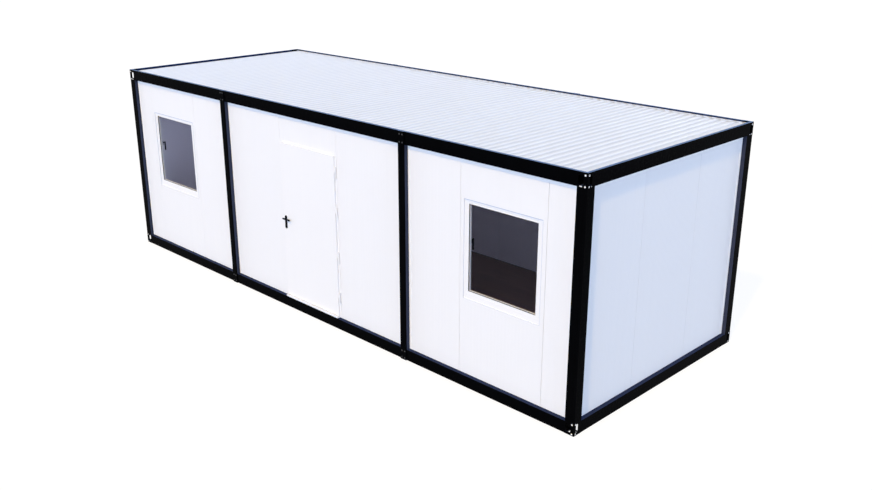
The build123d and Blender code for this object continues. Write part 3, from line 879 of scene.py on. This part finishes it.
def floor_planks():
    """Laminate planks in the place of the deck, with a small groove round each."""
    low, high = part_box("floor_boards")
    bm = bmesh.new()
    rows = round((high.y - low.y) / PLANK_WIDTH)
    width = (high.y - low.y) / rows
    for row in range(rows):
        y0 = low.y + row * width
        x0 = low.x
        shift = PLANK_LENGTH * ((row * PLANK_SHIFT_STEP) % PLANK_SHIFTS) / PLANK_SHIFTS
        x1 = low.x + PLANK_LENGTH - shift
        while x0 < high.x - LEVEL:
            x1 = min(x1, high.x)
            bevelled_box(bm, (x0, y0, low.z), (x1, y0 + width, high.z), PLANK_GROOVE)
            x0, x1 = x1, x1 + PLANK_LENGTH
    made = piece("floor_planks", bm, floor_wood(), CABIN)
    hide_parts("floor_boards")


# Door

def door_details():
    """Drip bar on the frame over the leaf, and a white seal on the back of the leaf's flange."""
    head_low, head_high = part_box("door_head")
    leaf_low, leaf_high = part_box("door_leaf")
    bm = bmesh.new()
    low = (leaf_low.x, head_low.y - HEAD_BAR_PROUD, head_high.z - HEAD_BAR_HEIGHT)
    bevelled_box(bm, low, (leaf_high.x, head_low.y, head_high.z), TRIM_ROUND)
    piece("door_head_bar", bm, SILL_WHITE, CABIN)
    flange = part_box("door_jamb_right")[0].y
    seal = bmesh.new()
    edge = DOOR_SEAL_INSET
    ring(seal, leaf_low.x + edge, leaf_high.x - edge, leaf_low.z + edge, leaf_high.z - edge,
         DOOR_SEAL_WIDTH, leaf_low.y + LEAF_FLANGE, flange - DOOR_SEAL_CLEARANCE)
    piece("door_seal", seal, white_rubber(), DOOR)


# Stage, light and camera

WHITE = (1.0, 1.0, 1.0, 1.0)
SKY_LIGHT = (0.173, 0.210, 0.275, 1.0)
FLOOR_RADIUS = 80.0
FLOOR_BOUNCE = (0.181, 0.220, 0.276, 1.0)
FLOOR_LIT = (0.20, 0.20, 0.20, 1.0)
FLOOR_GLOW = 0.86
SUNSHINE = (1.0, 0.64, 0.13)
SUN_ENERGY = 1.72
SUN_ANGLE = 2.5
SUN_WAY = (-0.19, 0.65, -0.74)
SOFT_BLUE = (0.655, 0.775, 1.0)
SOFT_ENERGY = {"front": 2.42, "right": 2.00, "back": 2.00, "left": 2.00}
SOFT_ANGLE = 40
SOFT_SLOPE = 0.22
DAYLIGHT = (0.66, 0.68, 1.0)
DAYLIGHT_ENERGY = 4.5
DAYLIGHT_GAP = 0.01
LENS = 38.886
SENSOR_WIDTH = 36.0
VIEW_DISTANCE = 500.0
CAMERA_PLACE = (8.6194, -7.9871, 4.7281)
CAMERA_TILT = 70.483
CAMERA_TURN = 44.833


def seen_background(tree):
    """1 where the camera, a reflection or glass looks at the background, 0 for the light it gives."""
    path = tree.nodes.new("ShaderNodeLightPath")
    seen = path.outputs["Is Camera Ray"]
    for kind in ("Is Glossy Ray", "Is Transmission Ray"):
        either = tree.nodes.new("ShaderNodeMath")
        either.operation = "MAXIMUM"
        tree.links.new(seen, either.inputs[0])
        tree.links.new(path.outputs[kind], either.inputs[1])
        seen = either.outputs[0]
    return seen


def floor_material():
    """White where it is seen, with part of it lit so that the shadow stays. Blue for bounced light."""
    material = bpy.data.materials.new("stage_floor")
    material.use_nodes = True
    tree = material.node_tree
    tree.nodes.clear()
    output = tree.nodes.new("ShaderNodeOutputMaterial")
    lit = tree.nodes.new("ShaderNodeBsdfDiffuse")
    lit.inputs["Color"].default_value = FLOOR_LIT
    glow = tree.nodes.new("ShaderNodeEmission")
    glow.inputs["Strength"].default_value = FLOOR_GLOW
    both = tree.nodes.new("ShaderNodeAddShader")
    bounce = tree.nodes.new("ShaderNodeBsdfDiffuse")
    bounce.inputs["Color"].default_value = FLOOR_BOUNCE
    mix = tree.nodes.new("ShaderNodeMixShader")
    tree.links.new(lit.outputs[0], both.inputs[0])
    tree.links.new(glow.outputs[0], both.inputs[1])
    tree.links.new(seen_background(tree), mix.inputs[0])
    tree.links.new(bounce.outputs[0], mix.inputs[1])
    tree.links.new(both.outputs[0], mix.inputs[2])
    tree.links.new(mix.outputs[0], output.inputs["Surface"])
    return material


def stage():
    """A round floor under the cabin."""
    bm = bmesh.new()
    bmesh.ops.create_circle(bm, cap_ends=True, radius=FLOOR_RADIUS, segments=64)
    mesh = bpy.data.meshes.new("stage_floor")
    bm.to_mesh(mesh)
    bm.free()
    mesh.materials.append(floor_material())
    obj = bpy.data.objects.new("stage_floor", mesh)
    bpy.context.scene.collection.objects.link(obj)


def world():
    """White where it is seen, pale sky blue where it lights the cabin."""
    made = bpy.data.worlds.new("studio")
    made.use_nodes = True
    bpy.context.scene.world = made
    tree = made.node_tree
    background = tree.nodes["Background"]
    mix = tree.nodes.new("ShaderNodeMix")
    mix.data_type = "RGBA"
    mix.inputs[6].default_value = SKY_LIGHT
    mix.inputs[7].default_value = WHITE
    tree.links.new(seen_background(tree), mix.inputs["Factor"])
    tree.links.new(mix.outputs[2], background.inputs["Color"])
    background.inputs["Strength"].default_value = 1.0


def lamp_from_afar(name, energy, colour, angle, direction):
    """A sun lamp: angle in degrees is how wide it looks, direction the way its light goes."""
    light = bpy.data.lights.new(name, "SUN")
    light.energy = energy
    light.color = colour
    light.angle = math.radians(angle)
    obj = bpy.data.objects.new(name, light)
    bpy.context.scene.collection.objects.link(obj)
    obj.rotation_mode = "QUATERNION"
    obj.rotation_quaternion = Vector(direction).to_track_quat("-Z", "Y")


def sunshine():
    """The sun from above the front, and a wide bluish lamp from afar on each side."""
    lamp_from_afar("sun", SUN_ENERGY, SUNSHINE, SUN_ANGLE, SUN_WAY)
    for side, energy in SOFT_ENERGY.items():
        inwards = SIDES[side].to_3x3() @ Vector((0, 1, -SOFT_SLOPE))
        lamp_from_afar(f"soft_{side}", energy, SOFT_BLUE, SOFT_ANGLE, inwards)


def window_light():
    """A soft lamp behind each pane, for the daylight that comes in through it."""
    for k, pane in enumerate(solids("window_panes")):
        x0, x1 = span(pane, 0)
        z0, z1 = span(pane, 2)
        light = bpy.data.lights.new(f"daylight_{k}", "AREA")
        light.shape = "RECTANGLE"
        light.size = x1 - x0
        light.size_y = z1 - z0
        light.energy = DAYLIGHT_ENERGY
        light.color = DAYLIGHT
        obj = bpy.data.objects.new(f"daylight_{k}", light)
        bpy.context.scene.collection.objects.link(obj)
        obj.location = ((x0 + x1) / 2, WALL_HIGH.y + DAYLIGHT_GAP, (z0 + z1) / 2)
        obj.rotation_euler = (math.radians(90), 0.0, 0.0)
        obj.visible_camera = False
        obj.visible_glossy = False


def camera():
    """The view of the cabin from beyond its front right corner."""
    data = bpy.data.cameras.new("camera")
    data.lens = LENS
    data.sensor_width = SENSOR_WIDTH
    data.clip_end = VIEW_DISTANCE
    obj = bpy.data.objects.new("camera", data)
    bpy.context.scene.collection.objects.link(obj)
    obj.location = CAMERA_PLACE
    obj.rotation_euler = (math.radians(CAMERA_TILT), 0.0, math.radians(CAMERA_TURN))
    bpy.context.scene.camera = obj


bpy.context.scene.view_settings.view_transform = "Standard"
camera()
world()
sunshine()
window_light()
stage()
dress_nodes()
wall_panels()
edge_trims()
frame_bolts()
plate_bolts()
windows()
rib_closers()
floor_planks()
door_details()
